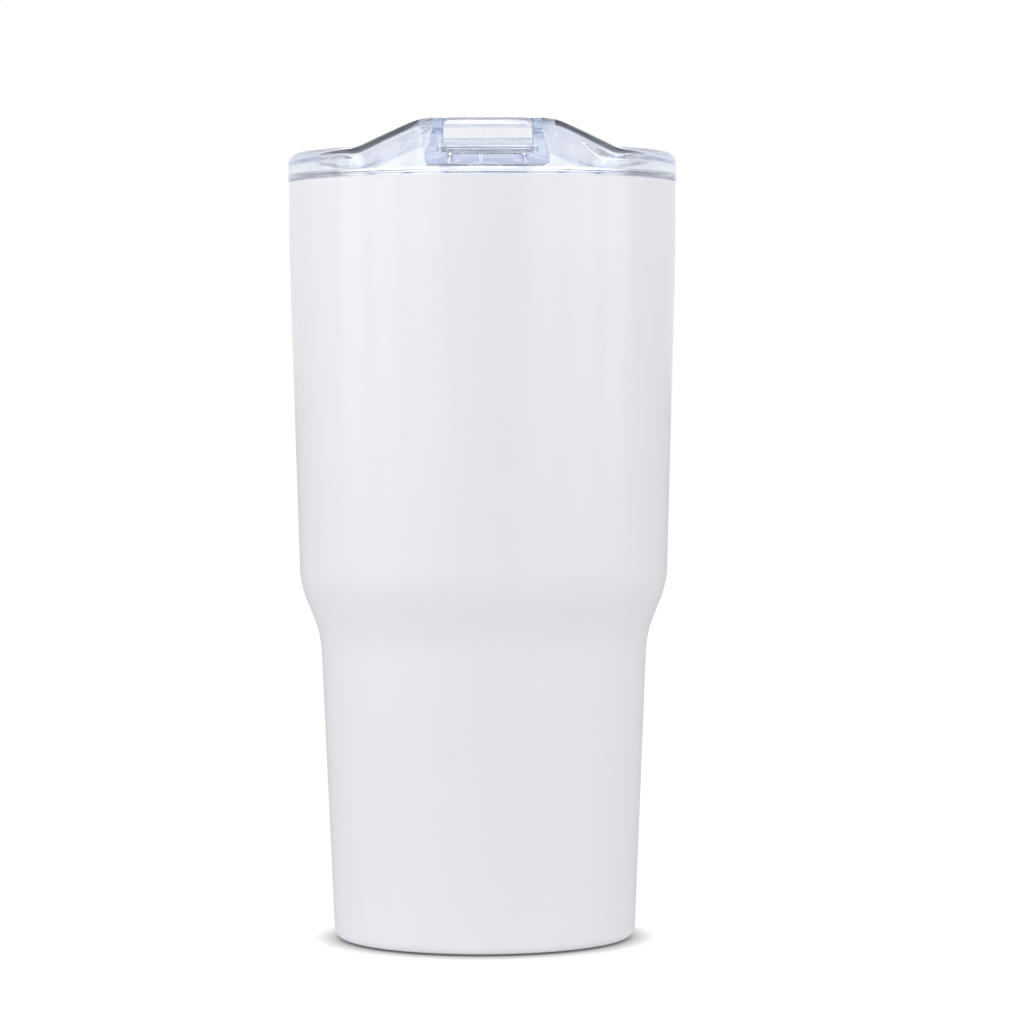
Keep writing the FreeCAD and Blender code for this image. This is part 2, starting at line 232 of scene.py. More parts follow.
# Math node whose inputs are sockets or plain numbers; gives back its output.
def mathNode(tree, operation, a, b=None, c=None):
    made = node(tree, "ShaderNodeMath", operation=operation)
    for socket, value in zip(made.inputs, (a, b, c)):
        if isinstance(value, (int, float)):
            socket.default_value = value
        elif value is not None:
            tree.links.new(value, socket)
    return made.outputs[0]


# Node group with named float inputs (name: start value) and outputs (name: socket kind).
def newGroup(name, inputs, outputs):
    tree = bpy.data.node_groups.new(name, "ShaderNodeTree")
    for label, value in inputs.items():
        tree.interface.new_socket(label, in_out="INPUT", socket_type="NodeSocketFloat").default_value = value
    for label, kind in outputs.items():
        tree.interface.new_socket(label, in_out="OUTPUT", socket_type=kind)
    return tree, tree.nodes.new("NodeGroupInput"), tree.nodes.new("NodeGroupOutput")


def placeGroup(tree, group, **values):
    made = tree.nodes.new("ShaderNodeGroup")
    made.node_tree = group
    for key, value in values.items():
        made.inputs[key].default_value = value
    return made


# Orange peel of a sprayed or moulded skin: two sizes of noise added up give the height, and a wide slow
# noise gives a mask for small changes of gloss.
def buildPeelGroup():
    tree, start, end = newGroup("surfacePeel", {"size": 900.0, "fine": 0.4},
                                {"height": "NodeSocketFloat", "mottle": "NodeSocketFloat"})
    place = node(tree, "ShaderNodeTexCoord").outputs["Object"]
    broad = node(tree, "ShaderNodeTexNoise", in_Detail=2.0, in_Roughness=0.5)
    grain = node(tree, "ShaderNodeTexNoise", in_Detail=3.0, in_Roughness=0.6)
    slow = node(tree, "ShaderNodeTexNoise", in_Scale=38.0, in_Detail=3.0, in_Roughness=0.55)
    for texture in (broad, grain, slow):
        tree.links.new(place, texture.inputs["Vector"])
    tree.links.new(start.outputs["size"], broad.inputs["Scale"])
    tree.links.new(mathNode(tree, "MULTIPLY", start.outputs["size"], 4.0), grain.inputs["Scale"])
    fine = mathNode(tree, "MULTIPLY", grain.outputs["Fac"], start.outputs["fine"])
    tree.links.new(mathNode(tree, "ADD", broad.outputs["Fac"], fine), end.inputs["height"])
    tree.links.new(slow.outputs["Fac"], end.inputs["mottle"])
    return tree


# Lathe brushing: noise read at (radius and height times fine, angle times coarse), so that it is drawn
# out into rings round the axis.
def buildSpinGroup():
    tree, start, end = newGroup("spunBrushing", {"fine": 9000.0, "around": 2.0},
                                {"streak": "NodeSocketFloat", "tone": "NodeSocketFloat"})
    place = node(tree, "ShaderNodeTexCoord").outputs["Object"]
    parts = node(tree, "ShaderNodeSeparateXYZ")
    tree.links.new(place, parts.inputs[0])
    x, y, z = parts.outputs
    squares = mathNode(tree, "ADD", mathNode(tree, "MULTIPLY", x, x), mathNode(tree, "MULTIPLY", y, y))
    radius = mathNode(tree, "SQRT", squares)
    inverse = mathNode(tree, "DIVIDE", 1.0, mathNode(tree, "MAXIMUM", radius, 0.0004))
    both = node(tree, "ShaderNodeCombineXYZ")
    for socket, part in zip(both.inputs[:2], (x, y)):
        unit = mathNode(tree, "MULTIPLY", part, inverse)
        tree.links.new(mathNode(tree, "MULTIPLY", unit, start.outputs["around"]), socket)
    along = mathNode(tree, "MULTIPLY", mathNode(tree, "ADD", radius, z), start.outputs["fine"])
    tree.links.new(along, both.inputs[2])
    streak = node(tree, "ShaderNodeTexNoise", in_Scale=1.0, in_Detail=3.0, in_Roughness=0.65)
    tone = node(tree, "ShaderNodeTexNoise", in_Scale=0.06, in_Detail=2.0, in_Roughness=0.5)
    for texture, output in ((streak, "streak"), (tone, "tone")):
        tree.links.new(both.outputs[0], texture.inputs["Vector"])
        tree.links.new(texture.outputs["Fac"], end.inputs[output])
    return tree


peelGroup = buildPeelGroup()
spinGroup = buildSpinGroup()


# Turns a 0 to 1 value into a value from low to high.
def ramp(tree, value, low, high):
    made = node(tree, "ShaderNodeMapRange", in_To_Min=low, in_To_Max=high)
    tree.links.new(value, made.inputs["Value"])
    return made.outputs["Result"]


# 0 below the low value, 1 above the high one, and a smooth step between them.
def smoothStep(tree, value, low, high):
    made = node(tree, "ShaderNodeMapRange", interpolation_type="SMOOTHSTEP",
                in_From_Min=low, in_From_Max=high)
    tree.links.new(value, made.inputs["Value"])
    return made.outputs["Result"]


# Goes from the first colour to the second as the factor goes from 0 to 1.
def blendColours(tree, factor, first, second):
    made = node(tree, "ShaderNodeMix", data_type="RGBA")
    made.inputs["A"].default_value = (*first, 1)
    made.inputs["B"].default_value = (*second, 1)
    tree.links.new(factor, made.inputs["Factor"])
    return made.outputs["Result"]


# The same for two plain numbers or value sockets.
def mixValues(tree, factor, first, second):
    made = node(tree, "ShaderNodeMix", data_type="FLOAT")
    tree.links.new(factor, made.inputs["Factor"])
    for socket, value in ((made.inputs["A"], first), (made.inputs["B"], second)):
        if isinstance(value, float):
            socket.default_value = value
        else:
            tree.links.new(value, socket)
    return made.outputs["Result"]


def addBump(tree, shader, height, strength, distance):
    bump = node(tree, "ShaderNodeBump", in_Strength=strength, in_Distance=distance)
    tree.links.new(height, bump.inputs["Height"])
    tree.links.new(bump.outputs["Normal"], shader.inputs["Normal"])


# Sprayed white coat: two near whites by the slow mask, fine orange peel, and a thin clear gloss on top.
def sprayedCoat():
    look = {"light": (0.845, 0.835, 0.885), "dark": (0.825, 0.815, 0.865), "coat": 0.6, "coatRoughness": 0.16,
            "rough": (0.34, 0.42), "peel": 700.0, "fine": 0.25, "bump": 0.05, "depth": 0.00006}
    material, tree, shader = newMaterial("sprayedCoat")
    peel = placeGroup(tree, peelGroup, size=look["peel"], fine=look["fine"])
    tree.links.new(blendColours(tree, peel.outputs["mottle"], look["light"], look["dark"]),
                   shader.inputs["Base Color"])
    tree.links.new(ramp(tree, peel.outputs["mottle"], *look["rough"]), shader.inputs["Roughness"])
    shader.inputs["Coat Weight"].default_value = look["coat"]
    shader.inputs["Coat Roughness"].default_value = look["coatRoughness"]
    addBump(tree, shader, peel.outputs["height"], look["bump"], look["depth"])
    return material


# linerSteel's tint is raised above plain steel as painted light that brightens the shaded inside of the cup,
# and lipSteel's tint is lowered as painted shade that dims the lip's bright reflection.
steelLooks = {
    "linerSteel": {"tint": (0.82, 0.82, 0.83), "rough": (0.36, 0.52), "bump": 0.25, "fine": 9000.0},
    "lipSteel": {"tint": (0.50, 0.50, 0.51), "rough": (0.05, 0.12), "bump": 0.06, "fine": 9000.0},
    "rawSteel": {"tint": (0.58, 0.58, 0.59), "rough": (0.30, 0.48), "bump": 0.30, "fine": 4000.0},
    "coverSteel": {"tint": (0.68, 0.68, 0.69), "rough": (0.22, 0.38), "bump": 0.30, "fine": 9000.0},
}


# Stainless steel with rings of brushing; the streaks change both its roughness and its height.
def spunSteel(name):
    look = steelLooks[name]
    material, tree, shader = newMaterial(name)
    spun = placeGroup(tree, spinGroup, fine=look["fine"], around=2.0)
    darker = tuple(c * 0.93 for c in look["tint"])
    tree.links.new(blendColours(tree, spun.outputs["tone"], look["tint"], darker),
                   shader.inputs["Base Color"])
    tree.links.new(ramp(tree, spun.outputs["streak"], *look["rough"]), shader.inputs["Roughness"])
    shader.inputs["Metallic"].default_value = 1.0
    addBump(tree, shader, spun.outputs["streak"], look["bump"], 0.00002)
    return material


# Clear moulded plastic: a smooth refracting surface over a body that takes up a little light. Faint flow
# marks from moulding move its normal slightly.
def clearPlastic(name, roughness):
    look = {"tint": (0.75, 0.82, 0.96), "density": 14.0, "ior": 1.50, "flow": 160.0, "fine": 0.1,
            "bump": 0.04, "depth": 0.0001}
    material, tree, shader = newMaterial(name)
    peel = placeGroup(tree, peelGroup, size=look["flow"], fine=look["fine"])
    shader.inputs["Base Color"].default_value = (1, 1, 1, 1)
    shader.inputs["Transmission Weight"].default_value = 1.0
    shader.inputs["Metallic"].default_value = 0.0
    shader.inputs["IOR"].default_value = look["ior"]
    tree.links.new(ramp(tree, peel.outputs["mottle"], roughness * 0.5, roughness * 1.5),
                   shader.inputs["Roughness"])
    addBump(tree, shader, peel.outputs["height"], look["bump"], look["depth"])
    takeUp = node(tree, "ShaderNodeVolumeAbsorption", in_Density=look["density"])
    takeUp.inputs["Color"].default_value = (*look["tint"], 1)
    tree.links.new(takeUp.outputs["Volume"], tree.nodes["Material Output"].inputs["Volume"])
    return material


siliconeLooks = {
    "gasketSilicone": {"colour": (0.93, 0.94, 0.96), "roughness": 0.34, "clearness": 0.8},
    "padSilicone": {"colour": (0.30, 0.31, 0.33), "roughness": 0.62, "clearness": 0.0},
}


# Silicone rubber: a fine matt skin over a body that is milky or solid.
def siliconeRubber(name):
    look = siliconeLooks[name]
    material, tree, shader = newMaterial(name)
    peel = placeGroup(tree, peelGroup, size=1500.0, fine=0.5)
    paler = tuple(min(1.0, c * 1.06) for c in look["colour"])
    tree.links.new(blendColours(tree, peel.outputs["mottle"], look["colour"], paler),
                   shader.inputs["Base Color"])
    tree.links.new(ramp(tree, peel.outputs["mottle"], look["roughness"] - 0.06, look["roughness"] + 0.06),
                   shader.inputs["Roughness"])
    shader.inputs["Transmission Weight"].default_value = look["clearness"]
    shader.inputs["IOR"].default_value = 1.41
    addBump(tree, shader, peel.outputs["height"], 0.08, 0.00005)
    return material


# Copper foil: cells of crumpled facets for the height, and a slow change from fresh to duller.
def crinkledFoil():
    look = {"fresh": (0.93, 0.55, 0.40), "dull": (0.78, 0.42, 0.29), "folds": 260.0,
            "rough": (0.18, 0.34), "bump": 0.3, "depth": 0.0003}
    material, tree, shader = newMaterial("copperFoil")
    place = node(tree, "ShaderNodeTexCoord").outputs["Object"]
    folds = node(tree, "ShaderNodeTexVoronoi", feature="F1", in_Scale=look["folds"])
    peel = placeGroup(tree, peelGroup, size=500.0, fine=0.3)
    tree.links.new(place, folds.inputs["Vector"])
    tree.links.new(blendColours(tree, peel.outputs["mottle"], look["fresh"], look["dull"]),
                   shader.inputs["Base Color"])
    tree.links.new(ramp(tree, peel.outputs["mottle"], *look["rough"]), shader.inputs["Roughness"])
    shader.inputs["Metallic"].default_value = 1.0
    addBump(tree, shader, folds.outputs["Distance"], look["bump"], look["depth"])
    return material


# Getter tablet: coarse dark grains.
def pressedPowder():
    look = {"dark": (0.10, 0.10, 0.105), "light": (0.22, 0.22, 0.23), "grains": 3500.0,
            "rough": (0.6, 0.85), "bump": 0.4, "depth": 0.0001}
    material, tree, shader = newMaterial("pressedPowder")
    place = node(tree, "ShaderNodeTexCoord").outputs["Object"]
    grains = node(tree, "ShaderNodeTexVoronoi", feature="F1", in_Scale=look["grains"])
    tree.links.new(place, grains.inputs["Vector"])
    tree.links.new(blendColours(tree, grains.outputs["Distance"], look["dark"], look["light"]),
                   shader.inputs["Base Color"])
    tree.links.new(ramp(tree, grains.outputs["Distance"], *look["rough"]), shader.inputs["Roughness"])
    addBump(tree, shader, grains.outputs["Distance"], look["bump"], look["depth"])
    return material


# Sealing bead: dark green-grey glass, smooth with a few ripples.
def fusedGlass():
    look = {"dark": (0.05, 0.075, 0.06), "light": (0.09, 0.12, 0.10), "ripples": 600.0,
            "rough": (0.06, 0.16), "bump": 0.2, "depth": 0.0001}
    material, tree, shader = newMaterial("fusedGlass")
    peel = placeGroup(tree, peelGroup, size=look["ripples"], fine=0.2)
    tree.links.new(blendColours(tree, peel.outputs["mottle"], look["dark"], look["light"]),
                   shader.inputs["Base Color"])
    tree.links.new(ramp(tree, peel.outputs["mottle"], *look["rough"]), shader.inputs["Roughness"])
    addBump(tree, shader, peel.outputs["height"], look["bump"], look["depth"])
    return material


coat = sprayedCoat()
linerSteel = spunSteel("linerSteel")
lipSteel = spunSteel("lipSteel")
rawSteel = spunSteel("rawSteel")
coverSteel = spunSteel("coverSteel")
lidClear = clearPlastic("lidClear", 0.02)
sliderClear = clearPlastic("sliderClear", 0.03)
gasketSilicone = siliconeRubber("gasketSilicone")
padSilicone = siliconeRubber("padSilicone")
print("materials made")


wall = {
    "neckLength": 16.0, "neckBlend": 60.0, "upperTaper": 1.6,
    "shoulderHeight": 81.2, "shoulderDrop": 11.45, "shoulderRound": 20.0,
    "gripRadius": 37.28, "gripRound": 23.0, "baseRadius": 34.35, "baseRound": 2.0,
    "hemRadius": 31.0, "hemTop": 3.0, "hemRound": 0.9, "topRound": 0.18,
    "steel": 0.5, "gap": 2.1, "linerSteel": 0.5,
    "floor": 8.0, "floorRound": 5.0, "joint": 15.0,
    "lipLeg": 2.6, "lipEdge": 0.12, "lipSlack": 0.01, "bareLip": 1.0, "columns": 256,
}


# Outer surface of the cup from its base edge to the top of the coated wall, and the corner radii.
def wallCorners():
    shoulderTop = neckRadius - (wallTop - wall["neckLength"] - wall["shoulderHeight"]) * math.tan(
        math.radians(wall["upperTaper"]))
    corners = [(wall["baseRadius"], hemLow),
               (wall["gripRadius"], wall["shoulderHeight"] - wall["shoulderDrop"]),
               (shoulderTop, wall["shoulderHeight"]),
               (neckRadius, wallTop - wall["neckLength"]),
               (neckRadius, wallTop)]
    return corners, [wall["gripRound"], wall["shoulderRound"], wall["neckBlend"]]


# Closed profile between two parallels of a path, with its two thin ends slightly rounded, spun.
def spunShell(corners, radii, near, far, edgeRound):
    nearSide, farSide = shiftPath(corners, near), shiftPath(corners, far)
    nearRadii, farRadii = shiftRadii(corners, radii, near), shiftRadii(corners, radii, far)
    loop = np.vstack([nearSide, farSide[::-1]])
    start = (loop[0] + loop[-1]) / 2
    closed = np.vstack([[start], loop, [start]])
    loopRadii = [edgeRound, *nearRadii, edgeRound, edgeRound, *farRadii[::-1], edgeRound]
    return spin(roundedPath(closed, loopRadii)[:-1], wall["columns"])


# Coated outer wall: hem, base edge, grip, shoulder and neck as one profile with the steel's thickness, spun.
def coatedWall():
    corners, radii = wallCorners()
    hem = [(wall["hemRadius"], wall["hemTop"]), (wall["hemRadius"], hemLow)]
    grid = spunShell(hem + corners, [wall["hemRound"], wall["baseRound"]] + radii, 0, wall["steel"],
                     wall["topRound"])
    return gridPiece("coatedWall", grid, True, [coat], "cup", ["outer_shell"])


# Drink side of the inner wall: the outer surface moved in by steel, gap and steel.
def linerCorners():
    corners, radii = wallCorners()
    inset = wall["steel"] + wall["gap"] + wall["linerSteel"]
    moved, movedRadii = shiftPath(corners, inset), shiftRadii(corners, radii, inset)
    slope = (moved[1] - moved[0]) / (moved[1][1] - moved[0][1])

    def pointAt(z):
        return moved[0] + slope * (z - moved[0][1])

    return moved, list(movedRadii), pointAt


# Inner wall with its rolled lip: the drink side's profile, a half circle over the top, a short leg down
# outside, all with the steel's thickness, spun. The lip is left bare and polished.
def linerWall():
    moved, radii, pointAt = linerCorners()
    mouth = moved[-1][0]
    roll = (lipRadius - mouth) / 2 - wall["lipSlack"]
    corners = [pointAt(wall["joint"]), *moved[1:-1], (mouth, lipTop), (lipRadius, lipTop),
               (lipRadius, wallTop - wall["lipLeg"])]
    grid = spunShell(corners, [*radii, roll, roll], 0, -wall["linerSteel"], wall["lipEdge"])
    piece = gridPiece("linerWall", grid, True, [linerSteel, lipSteel], "cup", ["inner_liner"])
    paintAbove(piece, wallTop - wall["bareLip"], 1)
    return piece


# Inner bottom: a level disc whose rounded edge runs up to the inner wall's joint, as one closed profile.
def linerFloor():
    pointAt = linerCorners()[2]
    corners = [(0, wall["floor"]), pointAt(wall["floor"]), pointAt(wall["joint"])]
    inner = roundedPath(corners, [wall["floorRound"]], 5.0, 2.0)
    outer = roundedPath(shiftPath(corners, -wall["linerSteel"]),
                        shiftRadii(corners, [wall["floorRound"]], -wall["linerSteel"]), 5.0, 2.0)
    grid = spin(np.vstack([inner, outer[::-1]]), wall["columns"])
    return gridPiece("linerFloor", grid, False, [linerSteel], "cup", ["inner_bottom"])


base = {"coverSteel": 0.5, "coverRound": 1.0, "coverLow": 0.5, "padRecess": 22.0, "padDepth": 0.6,
        "padRound": 0.35, "padTopRound": 0.05, "columns": 192}


# Steel cap in the recess: a level disc with a rounded, turned-down rim, as one closed profile.
def baseCover():
    corners = np.array([(0, coverTop), (coverRadius, coverTop), (coverRadius, base["coverLow"])])
    outer = roundedPath(corners, [base["coverRound"]], 6.0, 2.0)
    inner = roundedPath(shiftPath(corners, -base["coverSteel"]),
                        shiftRadii(corners, [base["coverRound"]], -base["coverSteel"]), 6.0, 2.0)
    grid = spin(np.vstack([outer, inner[::-1]]), base["columns"])
    return gridPiece("baseCover", grid, False, [coverSteel], "cup", ["base_cover"])


# Silicone foot: a disc with a rounded edge and a round recess under it.
def basePad():
    r = base["padRound"]
    corners = [(0, padTop), (padRadius, padTop), (padRadius, 0), (base["padRecess"], 0),
               (base["padRecess"], base["padDepth"]), (0, base["padDepth"])]
    grid = spin(roundedPath(corners, [base["padTopRound"], r, r, r], 12.0, 2.0), base["columns"])
    return gridPiece("basePad", grid, False, [padSilicone], "cup", ["base_pad"])


coatedWall()
linerWall()
linerFloor()
baseCover()
basePad()
print("cup built")


lid = {
    "rimHeight": 5.0, "rimRound": 2.4, "skirtGap": 0.15, "seatGap": 0.05,
    "flatHalf": 12.0, "rollRadius": 14.0, "slope": 23.0, "footRadius": 7.0, "skin": 2.0,
    "plugRadius": 40.2, "plugWall": 2.0, "grooveDepth": 1.3,
    "channelHalf": 9.8, "channelCorner": 0.6, "sideTop": 1.5, "sideFoot": 3.0, "frontWall": 3.2,
    "floorRise": 3.0, "floorThickness": 2.0, "edgeRound": 0.5,
    "slotLength": 17.0, "slotWidth": 7.0, "slotMargin": 3.0,
    "tongueDepth": 1.0, "tongueLow": 0.15, "tongueSpace": 1.4, "slideRoom": 14.15,
    "ventRadius": 1.2, "ventPlace": 33.0, "ventSides": 40, "cutDepth": 6.0,
    "grooveGap": 0.02, "blockBlend": 1.2, "hollowStep": 0.8, "topRows": 46, "hollowRows": 14, "columns": 432,
}
rimTop = lipTop + lid["rimHeight"]
channelFloor = lipTop + lid["floorRise"]
channelHalfLength = lidRadius - lid["frontWall"]
slotCentre = -channelHalfLength + lid["slotMargin"] + lid["slotWidth"] / 2
plugRadius = lid["plugRadius"]


# Top outline across the lid: level, a roll of radius R1, a straight slope, a foot of radius R2, level.
def ridgeHeight(x):
    a = math.radians(lid["slope"])
    r1, r2 = lid["rollRadius"], lid["footRadius"]
    rollEnd = lid["flatHalf"] + r1 * math.sin(a)
    rollLow = ridgeTop - r1 * (1 - math.cos(a))
    footHigh = rimTop + r2 * (1 - math.cos(a))
    slopeEnd = rollEnd + (rollLow - footHigh) / math.tan(a)
    footEnd = slopeEnd + r2 * math.sin(a)
    u = np.abs(x)
    roll = ridgeTop - r1 + np.sqrt(np.maximum(r1 ** 2 - (u - lid["flatHalf"]) ** 2, 0))
    straight = rollLow - (u - rollEnd) * math.tan(a)
    foot = rimTop + r2 - np.sqrt(np.maximum(r2 ** 2 - (footEnd - u) ** 2, 0))
    return np.select([u < lid["flatHalf"], u < rollEnd, u < slopeEnd, u < footEnd],
                     [np.full_like(u, ridgeTop), roll, straight, foot], rimTop)


# How far the rounded rim edge lies under the top outline, as a quarter circle in plan radius.
def rimDrop(radius):
    r = lid["rimRound"]
    inward = np.clip(lidRadius - radius, 0, r)
    return r - np.sqrt(np.maximum(r ** 2 - (r - inward) ** 2, 0))


# Circle by columns: (r sin a, -r cos a), a going evenly through a full turn.
def circleLoop(radius):
    angle = np.linspace(0, 2 * math.pi, lid["columns"], endpoint=False)
    return np.column_stack([radius * np.sin(angle), -radius * np.cos(angle)])


# Point of a rounded rectangle nearest to each rim point: the rim point is clamped to the inner rectangle,
# and the outline lies corner + outward away from there.
def boxLoop(halfWidth, halfLength, corner, outward):
    rim = circleLoop(lidRadius)
    limit = np.array([halfWidth - corner, halfLength - corner])
    inner = np.clip(rim, -limit, limit)
    way = rim - inner
    return inner + way / np.linalg.norm(way, axis=1, keepdims=True) * (corner + outward)


# Stadium outline of the drink slot, met by rays from its centre towards the channel's outline.
def slotLoop():
    half = (lid["slotLength"] - lid["slotWidth"]) / 2
    radius = lid["slotWidth"] / 2
    way = boxLoop(lid["channelHalf"], channelHalfLength, lid["channelCorner"], 0) - [0, slotCentre]
    way = way / np.linalg.norm(way, axis=1, keepdims=True)
    side = np.abs(way[:, 0])
    flat = radius / np.maximum(np.abs(way[:, 1]), 1e-9)
    onEnd = side * half + np.sqrt(np.maximum(radius ** 2 - (half * way[:, 1]) ** 2, 0))
    distance = np.where(flat * side <= half, flat, onEnd)
    return way * distance[:, None] + [0, slotCentre]


# Flat loop of points lifted to a height, which may differ from column to column.
def atHeight(loop, z):
    return np.column_stack([loop, np.broadcast_to(z, len(loop))])


# Rows of the lid's skin, from the drink slot's upper edge out over the top, round the rim, down the plug,
# up into the hollow ridge and back under the channel floor to the slot's lower edge. A row's reach is how
# far from it the rounding of its corner starts.
def lidRows():
    rows, reaches = [], []

    def add(row, reach=0.0):
        rows.append(row)
        reaches.append(reach)

    def channel(outward):
        return boxLoop(lid["channelHalf"], channelHalfLength, lid["channelCorner"], outward)

    # Channel outline with its two long sides moved out where the slider's tongues run.
    def groove(depth):
        loop = channel(0)
        share = np.clip((np.abs(loop[:, 0]) - lid["channelHalf"] + lid["channelCorner"])
                        / lid["channelCorner"], 0, 1)
        share = share * (loop[:, 1] < sliderHigh.y + lid["slideRoom"])
        return loop + np.column_stack([np.sign(loop[:, 0]) * share * depth, 0 * share])

    # slot edge, channel floor and walls
    add(atHeight(slotLoop(), channelFloor), 0.3)
    for share in (0.35, 0.7):
        add(atHeight(slotLoop() * (1 - share) + channel(0) * share, channelFloor))
    add(atHeight(channel(0), channelFloor), 0.12)
    grooveLow = sliderLow.z + lid["tongueLow"]
    grooveTop = grooveLow + lid["tongueSpace"]
    add(atHeight(groove(0), grooveLow), 0.06)
    add(atHeight(groove(lid["tongueDepth"]), grooveLow), 0.15)
    add(atHeight(groove(lid["tongueDepth"]), grooveTop), 0.15)
    add(atHeight(groove(0), grooveTop), 0.06)
    for share in (0.3, 0.7):
        add(atHeight(channel(0), grooveTop + (ridgeTop - lid["edgeRound"] - grooveTop) * share))
    # rounded top edge of the channel, then the top surface out to the rim
    for turn in np.linspace(0, math.pi / 2, 6)[:-1]:
        outward = lid["edgeRound"] * (1 - math.cos(turn))
        loop = channel(outward)
        add(atHeight(loop, ridgeHeight(loop[:, 0]) - lid["edgeRound"] * (1 - math.sin(turn))))
    inner, outer = channel(lid["edgeRound"]), circleLoop(lidRadius - lid["rimRound"])
    for share in np.linspace(0, 1, lid["topRows"]):
        loop = inner * (1 - share) + outer * share
        add(atHeight(loop, ridgeHeight(loop[:, 0]) - rimDrop(np.hypot(*loop.T))))
    for turn in np.linspace(0, math.pi / 2, 9)[1:]:
        loop = circleLoop(lidRadius - lid["rimRound"] * (1 - math.sin(turn)))
        add(atHeight(loop, ridgeHeight(loop[:, 0]) - lid["rimRound"] * (1 - math.cos(turn))))
    # rim wall, skirt and seat
    rim = circleLoop(lidRadius)
    skirtLow = wallTop + lid["skirtGap"]
    edge = ridgeHeight(rim[:, 0]) - lid["rimRound"]
    for share in (0.05, 0.35, 0.65, 0.95):
        add(atHeight(rim, edge + (skirtLow + 0.3 - edge) * share))
    seat = lipTop + lid["seatGap"]
    skirtInside = circleLoop(lipRadius + lid["skirtGap"])
    add(atHeight(rim, skirtLow), 0.2)
    add(atHeight(skirtInside, skirtLow), 0.15)
    add(atHeight(skirtInside, seat), 0.3)
    # plug with the gasket's groove
    plug, grooveFloor = circleLoop(plugRadius), circleLoop(plugRadius - lid["grooveDepth"])
    add(atHeight(plug, seat), 0.5)
    add(atHeight(plug, gasketTop + lid["grooveGap"]), 0.12)
    add(atHeight(grooveFloor, gasketTop + lid["grooveGap"]), 0.15)
    add(atHeight(grooveFloor, gasketLow - lid["grooveGap"]), 0.15)
    add(atHeight(plug, gasketLow - lid["grooveGap"]), 0.12)
    add(atHeight(plug, plugLow), 0.5)
    plugInside = circleLoop(plugRadius - lid["plugWall"])
    add(atHeight(plugInside, plugLow), 0.5)
    # hollow under the ridge, closed up where the channel's block runs into the plug
    floorUnder = channelFloor - lid["floorThickness"]
    foot = lid["channelHalf"] + lid["sideFoot"]
    top = lid["channelHalf"] + lid["sideTop"]
    shut = atHeight(plugInside, floorUnder)
    beyond = np.clip((np.abs(plugInside[:, 0]) - foot) / lid["blockBlend"], 0, 1)
    beyond = (beyond * beyond * (3 - 2 * beyond))[:, None]

    def underSkin(loop):
        return atHeight(loop, ridgeHeight(loop[:, 0]) - lid["skin"])

    def blockSide(half):
        return np.column_stack([np.sign(plugInside[:, 0]) * half, plugInside[:, 1]])

    add(shut)
    hollow = [(atHeight(plugInside, floorUnder + lid["hollowStep"]), 0.0), (underSkin(plugInside), 0.8)]
    for share in np.linspace(0.06, 0.94, lid["hollowRows"]):
        hollow.append((underSkin(plugInside * (1 - share) + blockSide(top) * share), 0.0))
    hollow.append((underSkin(blockSide(top)), 0.6))
    hollow.append((atHeight(blockSide(foot), floorUnder), 0.4))
    for row, reach in hollow:
        add(shut * (1 - beyond) + row * beyond, reach)
    # back under the channel floor to the slot
    footLoop = rows[-1][:, :2]
    for share in (0.4, 0.75):
        add(atHeight(footLoop * (1 - share) + slotLoop() * share, floorUnder))
    add(atHeight(slotLoop(), floorUnder), 0.3)
    return roundRows(rows, reaches)


# Round vent hole through the channel floor, cut with a thin cylinder.
def boreVent(piece):
    cutter = bmesh.new()
    bmesh.ops.create_cone(cutter, cap_ends=True, segments=lid["ventSides"], radius1=lid["ventRadius"] * mm,
                          radius2=lid["ventRadius"] * mm, depth=lid["cutDepth"] * mm)
    bmesh.ops.translate(cutter, verts=cutter.verts,
                        vec=Vector((0, lid["ventPlace"], channelFloor - lid["floorThickness"] / 2)) * mm)
    mesh = bpy.data.meshes.new("ventCutter")
    cutter.to_mesh(mesh)
    cutter.free()
    tool = bpy.data.objects.new("ventCutter", mesh)
    bpy.context.scene.collection.objects.link(tool)
    cut = piece.modifiers.new("vent", "BOOLEAN")
    cut.object, cut.operation, cut.solver = tool, "DIFFERENCE", "EXACT"
    shaped = bpy.data.meshes.new_from_object(piece.evaluated_get(bpy.context.evaluated_depsgraph_get()))
    piece.modifiers.clear()
    piece.data = shaped
    bpy.data.objects.remove(tool)


# Clear lid: the rows above as one closed skin round the drink slot, with the vent bored through.
def clearLid():
    grid = np.stack(lidRows())
    piece = gridPiece("clearLid", grid, True, [lidClear], "lid", ["lid_body"], 55)
    boreVent(piece)
    return piece


gasket = {"grooveGap": 0.03, "webDepth": 0.5, "split": 0.02, "innerRound": 0.15, "splitRound": 0.01,
          "columns": 256}


# Silicone ring: a web in the plug's groove and two lips, each a half circle towards the mouth, spun.
def lidGasket():
    split = gasket["split"]
    lipRound = (gasketTop - gasketLow) / 4 - split
    inner, web = plugRadius - lid["grooveDepth"] + gasket["grooveGap"], plugRadius - gasket["webDepth"]
    tip = mouthReach
    middle = (gasketLow + gasketTop) / 2
    corners = [(inner, middle), (inner, gasketLow), (tip, gasketLow), (tip, middle - split),
               (web, middle - split), (web, middle + split), (tip, middle + split), (tip, gasketTop),
               (inner, gasketTop), (inner, middle)]
    radii = [gasket["innerRound"], lipRound, lipRound, gasket["splitRound"], gasket["splitRound"],
             lipRound, lipRound, gasket["innerRound"]]
    grid = spin(roundedPath(corners, radii, 15.0, 1.5)[:-1], gasket["columns"])
    return gridPiece("lidGasket", grid, True, [gasketSilicone], "lid", ["lid_gasket"])


clearLid()
lidGasket()
print("lid built")


slider = {"plateTop": 2.05, "cornerRound": 1.5, "edgeRound": 0.35, "tongue": 1.0, "tongueLow": 0.3,
          "tongueThick": 1.1, "barHalf": 6.5, "barDepth": 5.0, "barFromRear": 6.0, "barRound": 0.7,
          "barCorner": 1.6, "tongueBlend": 0.5, "tongueEnd": 0.1, "pocketDepth": 0.8, "pocketGap": 0.02,
          "columns": 240}


